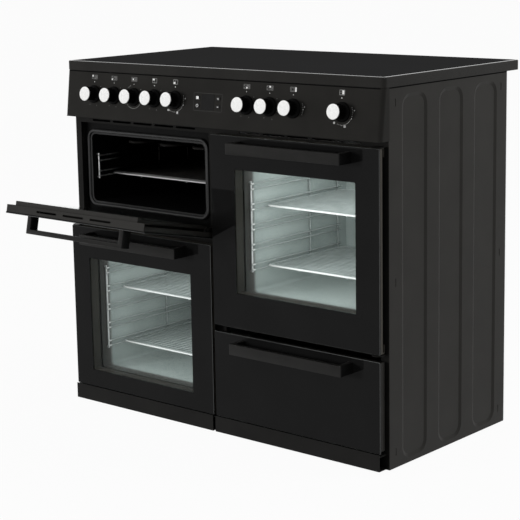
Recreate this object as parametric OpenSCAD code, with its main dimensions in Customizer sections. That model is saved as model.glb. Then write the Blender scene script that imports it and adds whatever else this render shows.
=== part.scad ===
// Range cooker with a glass hob, a drop-down grill door, two side-hinged oven doors and a storage drawer.
// Origin: on the floor under the middle of the hob. +X is the viewer's right, -Y the front, +Z up.
// At rest the grill door is open on its stop and everything else is closed. Millimetres.

/* [Overall] */
// Width over the hob
overall_w = 1000; // [980:5:1040]
// Depth of the hob, front edge to rear edge
hob_depth = 550; // [540:5:580]
// Height from the floor to the top of the hob
overall_h = 900; // [895:1:915]
// Height of the hob's edge trim
hob_edge_h = 24; // [20:1:26]
// Radius of the hob's corners in plan
hob_corner_r = 10; // [6:1:14]

/* [Casing] */
// Thickness of the pressed steel sheet
sheet = 1.5; // [1.2:0.1:1.8]
// Gap between the casing's bottom edge and the floor
floor_gap = 10; // [8:1:12]
// Distance by which the side panels stand back from the hob's side edges
side_step = 3; // [2:0.5:4]
// Depth of the three broad recesses that stiffen each side panel
rib_depth = 3; // [2:0.5:4]
// Width of one recess at the panel's face
rib_w = 97; // [90:1:100]
// Width of a recess's sloping edge
rib_slope = 8; // [6:0.5:10]
// Spacing of the recesses
rib_pitch = 144; // [138:1:146]
// Corner radius of a recess
rib_r = 30; // [22:1:34]
// Depth by which the side panels stop short of the hob's rear edge
rear_overhang = 53; // [50:1:60]

/* [Control panel] */
// Height of the bottom edge of the sloping control panel
fascia_bottom_z = 759.5; // [757:0.5:761]
// How much further forward the panel's bottom edge stands than its top edge
fascia_lean = 14; // [10:1:18]
// Radius of the panel's two vertical front corners
fascia_corner_r = 10; // [8:1:14]
// Distance from the panel's top edge down to the knobs' axes
knob_drop = 57; // [55:1:59]
// Spacing of the knobs
knob_pitch = 70; // [66:1:71]
// Length of a knob in front of the panel
knob_len = 35; // [30:1:38]
// Radius of a knob's bright end cap
knob_cap_r = 17.5; // [16:0.5:19]

/* [Doors] */
// Clearance between the two columns of doors
column_gap = 8; // [6:1:10]
// Place of that gap, left of the middle when negative
column_split = -10; // [-14:1:-6]
// Height of the top edge of the grill door and the tall oven's door
door_top_z = 744; // [740:1:744]
// Height of the pivot that the grill door turns on
grill_pivot_z = 503.6; // [502:0.2:505]
// Height of the top edge of the main oven's door
main_top_z = 474; // [470:1:474]
// Height of the bottom edge of the main oven's door and of the drawer front
lower_bottom_z = 52; // [51:1:54]
// Height of the bottom edge of the tall oven's door
tall_bottom_z = 282; // [281:1:284]
// Height of the top edge of the drawer front
drawer_top_z = 265; // [260:1:266]
// Thickness of a door from its outer glass to its inner glass
door_t = 33; // [32:0.5:34]
// Width of a door's window
window_w = 356; // [340:1:360]
// Height of an oven door's window
window_h = 298; // [280:1:300]
// How far the grill door is open at rest, from closed
grill_open_deg = 78; // [70:1:80]

/* [Handles] */
// Length of a handle
handle_len = 334; // [300:2:340]
// Height of a handle's bar
handle_h = 26; // [22:1:28]
// Distance from the door's glass to the front of the bar
handle_reach = 44; // [40:1:48]
// Distance from a door's top edge to the middle of its handle
handle_drop = 24; // [20:1:26]

/* [Ovens] */
// Width of the two oven cavities
oven_w = 360; // [350:1:362]
// Width of the grill cavity
grill_w = 394; // [384:1:396]
// Depth of the cavities from their mouth to the back wall
oven_d = 390; // [370:1:392]
// Corner radius of the two oven cavities
oven_r = 9; // [6:1:12]
// Corner radius of the grill cavity
grill_r = 14; // [10:1:18]
// Spacing of the shelf positions
shelf_pitch = 49; // [48:0.5:50]
// Spacing of the wires that a shelf is made of
grid_pitch = 13; // [12:0.5:16]

/* [Hidden] */
$fn = 48;
eps = 0.02;

// Planes, front to back
hob_front_y = -hob_depth / 2;
glass_front_y = hob_front_y - 6;
face_y = hob_front_y + 20;
flange_y = face_y + 15;
panel_rear_y = hob_depth / 2 - rear_overhang;
oven_back_y = flange_y + oven_d;

// Heights
hob_under_z = overall_h - hob_edge_h;
tray_z = floor_gap + sheet;
plinth_top_z = lower_bottom_z - 5;

// Casing, across
panel_x = overall_w / 2 - side_step;
panel_in_x = panel_x - sheet;
rib_wrap = sheet * (sqrt(pow(rib_slope, 2) + pow(rib_depth, 2)) - rib_slope) / rib_depth;
fascia_x = overall_w / 2 - 1;
side_gap = 10;
left_x0 = -overall_w / 2 + 2;
left_x1 = column_split - column_gap / 2;
right_x0 = column_split + column_gap / 2;
right_x1 = overall_w / 2 - side_gap;
left_mid = (left_x0 + left_x1) / 2;
right_mid = (right_x0 + right_x1) / 2;
centre_shift = 4;
main_mid = left_mid - centre_shift;
tall_mid = right_mid + centre_shift;

// Door build-up, measured back from the outer face
glass_t = 4;
channel_t = 22;
edge_inset = 3;
inner_inset = 30;
recess_inset = 20;
inner_h_inset = 14;
step_drop = 4;
channel_h = 20;
side_depth = 11;
web_t = 2;
grill_bottom_z = grill_pivot_z - 11.6;
grill_bottom_inset = 8;
pivot_t = 16;
pivot_y = glass_front_y + pivot_t;
pivot_r = 3.5;
lug_r = 9;
lug_w = 4;
hinge_y = glass_front_y + 9;
hinge_inset = 13;
hinge_r = 4;
hinge_play = 0.08;
hinge_pin = 12;
bracket_t = 2;
bracket_r = 13;
bracket_gap = 0.8;
bracket_drop = 4;
main_hinge_x = left_x0 + hinge_inset;
tall_hinge_x = right_x1 - hinge_inset;

// Openings of the front frame: [x0, x1, z0, z1]
open_grill = [left_x0 + recess_inset, left_x1 - recess_inset, grill_bottom_z - 2, door_top_z - 2];
open_main = [left_x0 + recess_inset, left_x1 - recess_inset, lower_bottom_z + 8, main_top_z - 2];
open_tall = [right_x0 + recess_inset, right_x1 - recess_inset, tall_bottom_z + 8, door_top_z - 2];
open_drawer = [right_x0 + 16, right_x1 - 16, lower_bottom_z + 6, drawer_top_z + 7];

// Air slots in the doors' top edges
air_w = 71;
air_pitch = 94;

// Windows: height of the lower edge
main_window_z = 96;
tall_window_z = 367;
grill_window_z = 545;
grill_window_h = 140;

// Cavities: [middle x, width, z0, z1, corner radius]
grill_box = [left_mid, grill_w, 538, 712, grill_r];
main_box = [main_mid, oven_w, 94, 410, oven_r];
tall_box = [tall_mid, oven_w, 358, 690, oven_r];

// Lip round a cavity's mouth, inside the seal
lip_w = 4.5;
lip_rise = 3;

// Side racks: middle heights of the wire pairs
main_pairs = [for (i = [0:4]) 156 + shelf_pitch * i];
tall_pairs = [for (i = [0:4]) 422 + shelf_pitch * i];
grill_pairs = [607, 647];
upright_r = 2.5;
wire_r = 2;
upright_off = 5;
wire_off = 9.2;
shelf_off = 11.5;
pair_half = 6.5;
shelf_seat = 4.1;
rack_front_y = flange_y + 15;
rack_mid_y = flange_y + 238;
rack_rear_y = flange_y + 350;
shelf_rear_y = oven_back_y - 36;
fan_y = oven_back_y - 24;

// Control panel
fascia_tilt = atan(fascia_lean / (hob_under_z - fascia_bottom_z));
fascia_sheet = 2;
knob_xs = concat([for (i = [0:4]) -397 + knob_pitch * i], [for (i = [0, 1, 2, 4]) 110 + knob_pitch * i]);
shaft_r = 3;
shaft_play = 0.05;
clock_x = column_split;
clock_drop = knob_drop;
clock_w = 40;
clock_h = 37;
key_w = 12;
key_h = 8;
key_gap = 0.4;
key_rise = 1.5;
key_lip = 1.3;
key_reach = 33;
key_spread = 9.5;

// Vent slots over the doors
slot_w = 64;
slot_h = 5;
slot_pitch = 73;
slot_z = 747;
slot_n = 5;

// ---- Shapes that repeat ----

module box(x, y, z) {
    translate([x[0], y[0], z[0]]) cube([x[1] - x[0], y[1] - y[0], z[1] - z[0]]);
}

// A flat outline drawn in X and Z, given depth from y0 to y1
module slab(y0, y1) {
    translate([0, y1, 0]) rotate([90, 0, 0]) linear_extrude(y1 - y0) children();
}

// A flat outline drawn in Y and Z, given width from x0 to x1
module bar(x0, x1) {
    translate([x0, 0, 0]) rotate([90, 0, 90]) linear_extrude(x1 - x0) children();
}

module rod_x(x0, x1, y, z, r) {
    translate([x0, y, z]) rotate([0, 90, 0]) cylinder(h = x1 - x0, r = r);
}

module rod_y(y0, y1, x, z, r) {
    translate([x, y1, z]) rotate([90, 0, 0]) cylinder(h = y1 - y0, r = r);
}

module rod_z(z0, z1, x, y, r) {
    translate([x, y, z0]) cylinder(h = z1 - z0, r = r);
}

// A rectangle with round corners, from its corner points
module round_rect(x0, x1, y0, y1, r) {
    translate([x0 + r, y0]) square([x1 - x0 - 2 * r, y1 - y0]);
    translate([x0, y0 + r]) square([x1 - x0, y1 - y0 - 2 * r]);
    for (x = [x0 + r, x1 - r], y = [y0 + r, y1 - r]) translate([x, y]) circle(r);
}

// A slot with round ends
module slot(x0, x1, y0, y1) {
    round_rect(x0, x1, y0, y1, min(x1 - x0, y1 - y0) / 2 - eps);
}

// A closed loop of round wire, flat in X and Y
module wire_loop(x0, x1, y0, y1, z, bend, r) {
    for (y = [y0, y1]) rod_x(x0 + bend, x1 - bend, y, z, r);
    for (x = [x0, x1]) rod_y(y0 + bend, y1 - bend, x, z, r);
    corners = [[x1 - bend, y1 - bend], [x0 + bend, y1 - bend], [x0 + bend, y0 + bend], [x1 - bend, y0 + bend]];
    for (i = [0:3])
        translate([corners[i][0], corners[i][1], z]) rotate([0, 0, 90 * i])
            rotate_extrude(angle = 90) translate([bend, 0]) circle(r);
}

// Places its children on the sloping control panel: x across, -y out of the panel, z up from its top edge
module on_fascia() {
    translate([0, hob_front_y, hob_under_z]) rotate([-fascia_tilt, 0, 0]) children();
}

// ---- Casing ----

// A thin slice of a recess on the plane x, its outline drawn in by the given amount
module rib_slice(x, y, inset) {
    half_w = rib_w / 2 - inset;
    z = [floor_gap + 12 + inset, hob_under_z - 18 - inset];
    bar(x, x + eps) round_rect(y - half_w, y + half_w, z[0], z[1], rib_r - inset, $fn = 24);
}

// The three recesses, with sloping edges, as solids that reach inwards from the plane x
module ribs(x, inset) {
    rib_mid = (face_y + panel_rear_y) / 2 + 3;
    for (i = [-1:1]) hull() {
        rib_slice(x, rib_mid + i * rib_pitch, inset);
        rib_slice(x - rib_depth, rib_mid + i * rib_pitch, inset + rib_slope);
    }
}

// One pressed side panel, drawn for the right-hand side
module side_panel() {
    difference() {
        union() {
            box([panel_in_x, panel_x], [face_y, panel_rear_y], [floor_gap, hob_under_z]);
            box([panel_x - 16, panel_x], [panel_rear_y - sheet, panel_rear_y], [floor_gap, hob_under_z]);
            box([panel_x - 20, panel_x], [face_y, panel_rear_y], [floor_gap, floor_gap + sheet]);
            // The backs of the recesses, one sheet thick all round
            ribs(panel_in_x, -rib_wrap);
        }
        ribs(panel_x, 0);
        // Fixing slots near the corners and at half height
        for (y = [face_y + 24, panel_rear_y - 26], z = [48, 440, hob_under_z - 34])
            bar(panel_in_x - 1, panel_x + 1) slot(y - 2, y + 2, z - 9, z + 9);
    }
}

module left_side_panel() {
    color("#3a3a38") mirror([1, 0, 0]) side_panel();
}

module right_side_panel() {
    color("#3a3a38") side_panel();
}

module back_panel() {
    cable_hole = [panel_x - 170, 120];
    color("#8d8f90") difference() {
        slab(panel_rear_y, panel_rear_y + sheet) difference() {
            round_rect(-panel_x, panel_x, floor_gap, hob_under_z, 2);
            // Rows of cooling slots
            for (x = [-3:3], z = [0:2])
                slot(x * 120 - 45, x * 120 + 45, 760 + z * 22, 766 + z * 22);
            for (x = [-1, 1], z = [0:2])
                slot(x * 150 - 45, x * 150 + 45, 60 + z * 22, 66 + z * 22);
        }
        rod_y(panel_rear_y - 1, panel_rear_y + 3, cable_hole[0], cable_hole[1], 15);
    }
}

module terminal_cover() {
    x0 = panel_x - 230;
    y0 = panel_rear_y + sheet;
    color("#2a2a2a") difference() {
        slab(y0, y0 + 28) round_rect(x0, x0 + 120, 70, 170, 6);
        slab(y0 - 1, y0 + 26) round_rect(x0 + 2, x0 + 118, 72, 168, 5);
    }
}

module base_tray() {
    x1 = panel_in_x - rib_depth - 1;
    y0 = face_y + 8;
    y1 = panel_rear_y - sheet;
    color("#6f7173") {
        box([-x1, x1], [y0, y1], [tray_z, tray_z + sheet]);
        for (y = [y0, y1 - sheet]) box([-x1, x1], [y, y + sheet], [tray_z, tray_z + 26]);
        for (x = [-x1, x1 - sheet]) box([x, x + sheet], [y0, y1], [tray_z, tray_z + 26]);
    }
}

module levelling_feet() {
    color("#1c1c1c") for (x = [-1, 1], y = [face_y + 40, panel_rear_y - 40])
        translate([x * (panel_x - 43), y, 0]) {
            cylinder(h = 6, r = 20);
            translate([0, 0, 6]) cylinder(h = tray_z - 6, r = 6);
        }
}

// Two strips that close the front below the doors
module plinth() {
    front = glass_front_y - 4;
    color("#1d1d1c") for (x = [[left_x0, left_x1], [right_x0, right_x1]])
        bar(x[0], x[1]) difference() {
            translate([front, floor_gap + 2]) square([face_y - front, plinth_top_z - floor_gap - 2]);
            translate([front + sheet, floor_gap + 2 + sheet])
                square([face_y - front, plinth_top_z - floor_gap - 2 - 2 * sheet]);
        }
}

module frame_opening(o, grow, y0, y1) {
    box([o[0] - grow, o[1] + grow], [y0, y1], [o[2] - grow, o[3] + grow]);
}

module front_frame() {
    openings = [open_grill, open_main, open_tall, open_drawer];
    color("#1f1f1e") difference() {
        union() {
            box([-panel_in_x, panel_in_x], [face_y, face_y + sheet], [tray_z + sheet, fascia_bottom_z]);
            for (x = [-panel_in_x, panel_in_x - sheet])
                box([x, x + sheet], [face_y, face_y + 7], [tray_z + sheet, fascia_bottom_z]);
            for (o = openings) frame_opening(o, sheet, face_y, flange_y);
        }
        for (o = openings) frame_opening(o, 0, face_y - 1, flange_y + 1);
        for (m = [left_mid, right_mid], i = [0:slot_n - 1])
            slab(face_y - 1, face_y + 2) translate([m + (i - (slot_n - 1) / 2) * slot_pitch, slot_z])
                slot(-slot_w / 2, slot_w / 2, 0, slot_h);
    }
}

// The bracket over a side-hinged door: a tongue on the front frame with a pin that points down
module upper_bracket(x, z) {
    box([x - bracket_r, x + bracket_r], [hinge_y, face_y], [z, z + bracket_t]);
    rod_z(z, z + bracket_t, x, hinge_y, bracket_r);
    rod_z(z - hinge_pin, z + bracket_t, x, hinge_y, hinge_r);
}

// The bracket under a side-hinged door: its pin points up through a collar that carries the door
module lower_bracket(x, z) {
    top = z + bracket_t;
    box([x - bracket_r, x + bracket_r], [hinge_y, face_y], [z, top]);
    rod_z(z, top, x, hinge_y, bracket_r);
    rod_z(z, z + bracket_drop - 0.3, x, hinge_y, hinge_r + 3);
    rod_z(z, top + hinge_pin, x, hinge_y, hinge_r);
}

// A bracket for the grill door: a cheek on the front frame with a pin that points inwards
module grill_bracket(x, inward) {
    pin = 11;
    cheek = [min(x, x - inward * 3), max(x, x - inward * 3)];
    box(cheek, [pivot_y, face_y], [grill_pivot_z - 7, grill_pivot_z + 9]);
    rod_x(cheek[0], cheek[1], pivot_y, grill_pivot_z, 7);
    rod_x(min(x, x + inward * pin), max(x, x + inward * pin), pivot_y, grill_pivot_z, pivot_r);
}

module hinge_brackets() {
    color("#77787a") {
        upper_bracket(main_hinge_x, main_top_z + bracket_gap);
        lower_bracket(main_hinge_x, lower_bottom_z - bracket_drop);
        upper_bracket(tall_hinge_x, door_top_z + bracket_gap);
        lower_bracket(tall_hinge_x, tall_bottom_z - bracket_drop);
        grill_bracket(open_grill[0] - 2, 1);
        grill_bracket(open_grill[1] + 2, -1);
    }
}

// ---- Control panel ----

// The panel's plan: flat front, round corners, sides running back
module fascia_plan(inset) {
    w = fascia_x - inset;
    r = fascia_corner_r - inset;
    translate([-w + r, inset]) square([2 * (w - r), 60]);
    translate([-w, inset + r]) square([2 * w, 60 - r]);
    for (x = [-1, 1]) translate([x * (w - r), inset + r]) circle(r);
}

module fascia() {
    key_hole = [key_w / 2 + key_gap, key_h / 2 + key_gap];
    color("#262625") difference() {
        union() {
            intersection() {
                on_fascia() translate([0, 0, -160]) linear_extrude(200) difference() {
                    fascia_plan(0);
                    fascia_plan(fascia_sheet);
                }
                box([-overall_w, overall_w], [hob_front_y - 60, face_y], [fascia_bottom_z, hob_under_z]);
            }
            // The bottom edge is folded back to the front frame
            box([-fascia_x + 4, fascia_x - 4], [hob_front_y - fascia_lean + 1, face_y],
                [fascia_bottom_z, fascia_bottom_z + sheet]);
        }
        on_fascia() {
            for (x = knob_xs) rod_y(-5, 5, x, -knob_drop, 6);
            box([clock_x - clock_w / 2 - 0.2, clock_x + clock_w / 2 + 0.2], [-5, 5],
                [-clock_drop - clock_h / 2 - 0.2, -clock_drop + clock_h / 2 + 0.2]);
            for (x = [-1, 1], z = [-1, 1]) translate([clock_x + x * key_reach, 0, -clock_drop + z * key_spread])
                box([-key_hole[0], key_hole[0]], [-5, 5], [-key_hole[1], key_hole[1]]);
        }
    }
}

module clock_display() {
    color("#0c0c0d") on_fascia() difference() {
        union() {
            box([clock_x - clock_w / 2, clock_x + clock_w / 2], [-0.3, 10],
                [-clock_drop - clock_h / 2, -clock_drop + clock_h / 2]);
            box([clock_x - 46, clock_x + 46], [fascia_sheet, 16], [-clock_drop - 22, -clock_drop + 22]);
        }
        for (x = [-1, 1], z = [-1, 1]) translate([clock_x + x * key_reach, 0, -clock_drop + z * key_spread])
            box([-key_w / 2 - 2, key_w / 2 + 2], [0, 9], [-key_h / 2 - 2, key_h / 2 + 2]);
    }
}

module clock_key(n) {
    x = n > 2 ? 1 : -1;
    z = n % 2 == 1 ? 1 : -1;
    color("#1b1b1b") on_fascia() translate([clock_x + x * key_reach, 0, -clock_drop + z * key_spread])
        union() {
            slab(-key_rise, 6) round_rect(-key_w / 2, key_w / 2, -key_h / 2, key_h / 2, 1.2);
            // A lip behind the panel keeps the key in its hole
            slab(fascia_sheet + 0.3, fascia_sheet + 1.6)
                round_rect(-key_w / 2 - key_lip, key_w / 2 + key_lip, -key_h / 2 - key_lip, key_h / 2 + key_lip, 1.2);
        }
}

// A knob: skirt, waisted grip with a pointer, domed bright cap and the shaft it turns
module knob(n) {
    skirt_r = knob_cap_r + 5;
    grip_r = knob_cap_r - 1.5;
    cap_t = 4;
    on_fascia() translate([knob_xs[n - 1], 0, -knob_drop]) rotate([90, 0, 0]) {
        color("#141414") {
            rotate_extrude() polygon([
                [0, 0.5], [skirt_r - 1, 0.5], [skirt_r, 1.5], [skirt_r, 3], [skirt_r - 1, 4],
                [grip_r + 1.5, 4.5], [grip_r, 7], [grip_r, knob_len - cap_t - 2],
                [knob_cap_r - 0.5, knob_len - cap_t], [0, knob_len - cap_t]
            ]);
            translate([-1.5, grip_r - 2, 4]) cube([3, 4, knob_len - cap_t - 5]);
            translate([0, 0, -16]) cylinder(h = 17, r = shaft_r);
        }
        color("#e8e8e6") rotate_extrude() polygon([
            [0, knob_len - cap_t], [knob_cap_r, knob_len - cap_t], [knob_cap_r, knob_len - 1.2],
            [knob_cap_r - 1.2, knob_len], [knob_cap_r - 4, knob_len + 0.6], [0, knob_len + 0.8]
        ]);
    }
}

// The switch or regulator behind each knob, bored for the shaft
module regulators() {
    color("#c9c6bd") on_fascia() for (x = knob_xs) translate([x, 0, -knob_drop]) difference() {
        union() {
            slab(fascia_sheet + 5, fascia_sheet + 22) round_rect(-18, 18, -16, 16, 3);
            rod_y(fascia_sheet, fascia_sheet + 6, 0, 0, 10);
        }
        rod_y(0, 18, 0, 0, shaft_r + shaft_play);
    }
}

// ---- Hob ----

// A profile carried round the hob's outline: x inwards from the outer edge, y up
module around_hob() {
    x1 = overall_w / 2;
    y1 = hob_depth / 2;
    r = hob_corner_r;
    for (side = [0, 1]) rotate([0, 0, 180 * side]) {
        translate([r - x1, -y1, 0]) rotate([90, 0, 90]) linear_extrude(2 * (x1 - r)) children();
        translate([x1, r - y1, 0]) rotate([90, 0, 180]) linear_extrude(2 * (y1 - r)) children();
        translate([x1 - r, r - y1, 0]) rotate([0, 0, 270])
            rotate_extrude(angle = 90) intersection() {
                translate([r, 0]) mirror([1, 0]) children();
                translate([0, -eps]) square([r, hob_edge_h + 1]);
            }
        translate([r - x1, r - y1, 0]) rotate([0, 0, 180])
            rotate_extrude(angle = 90) intersection() {
                translate([r, 0]) mirror([1, 0]) children();
                translate([0, -eps]) square([r, hob_edge_h + 1]);
            }
    }
}

// The edge trim: a rounded nose, a rim round the glass, a ledge under it and a return at the bottom
module hob_profile() {
    nose = 2.5;
    wall = 2;
    difference() {
        union() {
            translate([nose, 0]) square([8 - nose, hob_edge_h]);
            translate([0, 1]) square([8, hob_edge_h - 1 - nose]);
            translate([nose, hob_edge_h - nose]) circle(nose);
            translate([7, hob_edge_h - 8]) square([10, 3]);
        }
        translate([wall, wall]) square([20, hob_edge_h - 8 - wall]);
        translate([7, hob_edge_h - 5]) square([20, 6]);
    }
}

module hob_frame() {
    x1 = overall_w / 2 - 7;
    y1 = hob_depth / 2 - 7;
    color("#2b2b2a") translate([0, 0, hob_under_z]) {
        around_hob() hob_profile();
        // Corners of the ledge, inside the round corners of the trim
        for (x = [-1, 1], y = [-1, 1]) mirror([x < 0 ? 1 : 0, 0, 0]) mirror([0, y < 0 ? 1 : 0, 0])
            box([x1 - 10, x1], [y1 - 10, y1], [hob_edge_h - 8, hob_edge_h - 5]);
        // Closing plate under the part that overhangs the back
        box([3 - overall_w / 2, overall_w / 2 - 3], [panel_rear_y + sheet, hob_depth / 2 - 3], [0, sheet]);
    }
}

module hob_glass() {
    x1 = overall_w / 2 - 7.3;
    y1 = hob_depth / 2 - 7.3;
    color("#111112") translate([0, 0, overall_h - 5]) linear_extrude(4.4) round_rect(-x1, x1, -y1, y1, 2);
}

// The pan under the glass that carries the heating elements
module hob_tray() {
    x1 = overall_w / 2 - 12;
    y0 = hob_front_y + 10;
    y1 = panel_rear_y - 12;
    z0 = hob_under_z - 7.5;
    z1 = overall_h - 8;
    color("#9a9c9d") difference() {
        box([-x1, x1], [y0, y1], [z0, z1]);
        box([-x1 + sheet, x1 - sheet], [y0 + sheet, y1 - sheet], [z0 + sheet, z1 + 1]);
    }
}

// One round heater: a steel dish with a coil track round a raised middle
module heater(r) {
    floor_z = hob_under_z - 6;
    h = overall_h - 5 - floor_z;
    translate([0, 0, floor_z]) rotate_extrude() polygon([
        [0, 0], [r, 0], [r, h], [r - 4, h], [r - 4, 10], [r - 12, 10], [r - 12, 14], [r - 16, 14],
        [r - 16, 10], [r / 2, 10], [r / 2, 14], [r / 2 - 4, 14], [r / 2 - 4, 10], [0, 10]
    ]);
}

module radiant_elements() {
    places = [[-355, -120, 72], [-340, 95, 90], [0, -20, 105], [340, -120, 90], [355, 95, 72]];
    color("#b8b2a4") for (p = places) translate([p[0], p[1], 0]) heater(p[2]);
}

// ---- Cavities ----

// A pressed oven liner: flange, broad raised lip round the mouth, walls and back
module liner(b, flange) {
    x0 = b[0] - b[1] / 2;
    x1 = b[0] + b[1] / 2;
    difference() {
        union() {
            box([flange[0], flange[1]], [flange_y, flange_y + sheet], [flange[2], flange[3]]);
            slab(flange_y, oven_back_y + sheet)
                round_rect(x0 - sheet, x1 + sheet, b[2] - sheet, b[3] + sheet, b[4] + sheet);
            slab(flange_y - lip_rise, flange_y + sheet)
                round_rect(x0 - lip_w, x1 + lip_w, b[2] - lip_w, b[3] + lip_w, b[4] + lip_w);
        }
        slab(flange_y - 4, oven_back_y) round_rect(x0, x1, b[2], b[3], b[4]);
    }
}

module grill_liner() {
    color("#232423") liner(grill_box, [open_grill[0] - 12, open_grill[1] + 14, main_top_z - 0.5, slot_z - 1]);
}

module main_liner() {
    hub = [main_mid, (main_box[2] + main_box[3]) / 2];
    color("#5b605d") difference() {
        liner(main_box, [open_main[0] - 12, open_main[1] + 14, lower_bottom_z + 2, main_top_z - 1]);
        rod_y(oven_back_y - 1, oven_back_y + 3, hub[0], hub[1], 8);
    }
}

module tall_liner() {
    hub = [tall_mid, (tall_box[2] + tall_box[3]) / 2];
    color("#5b605d") difference() {
        liner(tall_box, [open_tall[0] - 14, open_tall[1] + 12, tall_bottom_z - 2, slot_z - 1]);
        rod_y(oven_back_y - 1, oven_back_y + 3, hub[0], hub[1], 8);
    }
}

// A soft round seal on the flange, just clear of the closed door's inner glass
module seal(b) {
    gap = 9;
    r = (glass_front_y + door_t - flange_y) / -2 - 0.15;
    x = [b[0] - b[1] / 2 - gap, b[0] + b[1] / 2 + gap];
    z = [b[2] - gap, b[3] + gap];
    translate([0, flange_y - r, 0]) rotate([90, 0, 0]) wire_loop(x[0], x[1], z[0], z[1], 0, b[4] + gap, r);
}

module oven_seals() {
    color("#2e2e2e") for (b = [grill_box, main_box, tall_box]) seal(b);
}

// A ladder of wires on one side wall; dir points from the wall into the oven
module side_rack(x, dir, pairs) {
    z0 = pairs[0] - pair_half - 6;
    z1 = pairs[len(pairs) - 1] + pair_half + 6;
    for (y = [rack_front_y, rack_mid_y, rack_rear_y]) {
        rod_z(z0, z1, x + dir * upright_off, y, upright_r);
        for (z = [z0 + 3, z1 - 3])
            rod_x(min(x, x + dir * upright_off), max(x, x + dir * upright_off), y, z, upright_r - 0.4);
    }
    for (p = pairs, s = [-1, 1])
        rod_y(rack_front_y - 5, rack_rear_y + 5, x + dir * wire_off, p + s * pair_half, wire_r);
}

module side_racks(b, pairs) {
    color("#c8c9c8") {
        side_rack(b[0] - b[1] / 2, 1, pairs);
        side_rack(b[0] + b[1] / 2, -1, pairs);
    }
}

// A wire shelf: a rim of thick wire, thin wires across it and two runners below
module shelf(b, pair_z, front_y) {
    x = [b[0] - b[1] / 2 + shelf_off, b[0] + b[1] / 2 - shelf_off];
    z = pair_z - pair_half + shelf_seat;
    count = floor((shelf_rear_y - front_y) / grid_pitch) - 1;
    color("#d4d5d4") {
        wire_loop(x[0], x[1], front_y, shelf_rear_y, z, 12, upright_r);
        for (i = [1:count]) rod_x(x[0], x[1], front_y + i * grid_pitch, z, 1.4);
        for (s = [-1, 1]) rod_y(front_y, shelf_rear_y, b[0] + s * b[1] / 5, z - 2.6, 1.6);
    }
}

module grill_shelf() {
    shelf(grill_box, grill_pairs[0], flange_y + 55);
}

module main_shelves() {
    for (i = [0, 3]) shelf(main_box, main_pairs[i], flange_y + 65);
}

module tall_shelves() {
    for (i = [0, 3]) shelf(tall_box, tall_pairs[i], flange_y + 65);
}

// The grill's bent tube under the cavity roof, with two straps that hang it
module grill_element() {
    z = grill_box[3] - 24;
    r = 3.5;
    bend = 28;
    legs = [for (i = [0:5]) grill_box[0] + (i - 2.5) * 2 * bend];
    y = [flange_y + 90, oven_back_y - 60];
    color("#6c6660") {
        for (i = [0:5]) rod_y(y[0], i == 0 || i == 5 ? oven_back_y : y[1], legs[i], z, r);
        for (i = [0, 2, 4]) translate([legs[i] + bend, y[0], z]) rotate([0, 0, 180])
            rotate_extrude(angle = 180) translate([bend, 0]) circle(r);
        for (i = [1, 3]) translate([legs[i] + bend, y[1], z])
            rotate_extrude(angle = 180) translate([bend, 0]) circle(r);
        for (hang_y = [y[0] + 40, y[1] - 50]) {
            box([legs[0] - 6, legs[5] + 6], [hang_y, hang_y + 10], [z - sheet / 2, z + sheet / 2]);
            for (x = [legs[1] + bend, legs[4] - bend])
                box([x - 5, x + 5], [hang_y, hang_y + 2], [z - sheet / 2, grill_box[3]]);
        }
    }
}

// ---- Fans ----

module fan_cover(mid, z) {
    half = 105;
    front = fan_y - 8;
    color("#4b4f4d") difference() {
        slab(front, oven_back_y) round_rect(mid - half, mid + half, z - half, z + half, 14);
        slab(front + sheet, oven_back_y + 1)
            round_rect(mid - half + sheet, mid + half - sheet, z - half + sheet, z + half - sheet, 12);
        for (a = [0:45:315]) rod_y(front - 1, front + 3, mid + 22 * cos(a), z + 22 * sin(a), 6);
        for (a = [0:24:336]) rod_y(front - 1, front + 3, mid + 45 * cos(a), z + 45 * sin(a), 6);
    }
}

module fan_covers() {
    for (b = [main_box, tall_box]) fan_cover(b[0], (b[2] + b[3]) / 2);
}

module fan_motors() {
    color("#a9abad") for (b = [main_box, tall_box]) translate([b[0], 0, (b[2] + b[3]) / 2]) difference() {
        union() {
            rod_y(oven_back_y + sheet, oven_back_y + 5, 0, 0, 40);
            rod_y(oven_back_y + 5, oven_back_y + 48, 0, 0, 28);
        }
        rod_y(oven_back_y, oven_back_y + 30, 0, 0, 4 + shaft_play);
    }
}

module fan(b) {
    color("#bfc1c2") translate([b[0], 0, (b[2] + b[3]) / 2]) {
        rod_y(oven_back_y - 6, oven_back_y - 4.5, 0, 0, 72);
        rod_y(fan_y, oven_back_y - 4.5, 0, 0, 12);
        rod_y(fan_y, oven_back_y + 25, 0, 0, 4);
        for (a = [0:30:330]) rotate([0, a, 0]) box([32, 70], [fan_y, oven_back_y - 5], [-0.8, 0.8]);
    }
}

// ---- Doors and drawer, all drawn closed ----

// The outer glass of a door or drawer
module outer_glass(x0, x1, z0, z1) {
    slab(glass_front_y, glass_front_y + glass_t) round_rect(x0, x1, z0, z1, 2);
}

// The inner glass, which fits inside the front frame's opening
module inner_glass(x0, x1, z0, z1) {
    slab(glass_front_y + door_t - glass_t, glass_front_y + door_t)
        round_rect(x0 + inner_inset, x1 - inner_inset, z0, z1 - inner_h_inset, 3);
}

// A folded channel between the panes; z is its closed edge and dir points to its open side
module channel(x0, x1, z, dir) {
    web = [min(z, z + dir * web_t), max(z, z + dir * web_t)];
    lips = [min(z, z + dir * channel_h), max(z, z + dir * channel_h)];
    t0 = glass_front_y + glass_t;
    t1 = glass_front_y + channel_t;
    box([x0, x1], [t0, t1], web);
    box([x0, x1], [t0, t0 + sheet], [min(z, z + dir * 8), max(z, z + dir * 8)]);
    box([x0, x1], [t1 - sheet, t1], lips);
}

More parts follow.
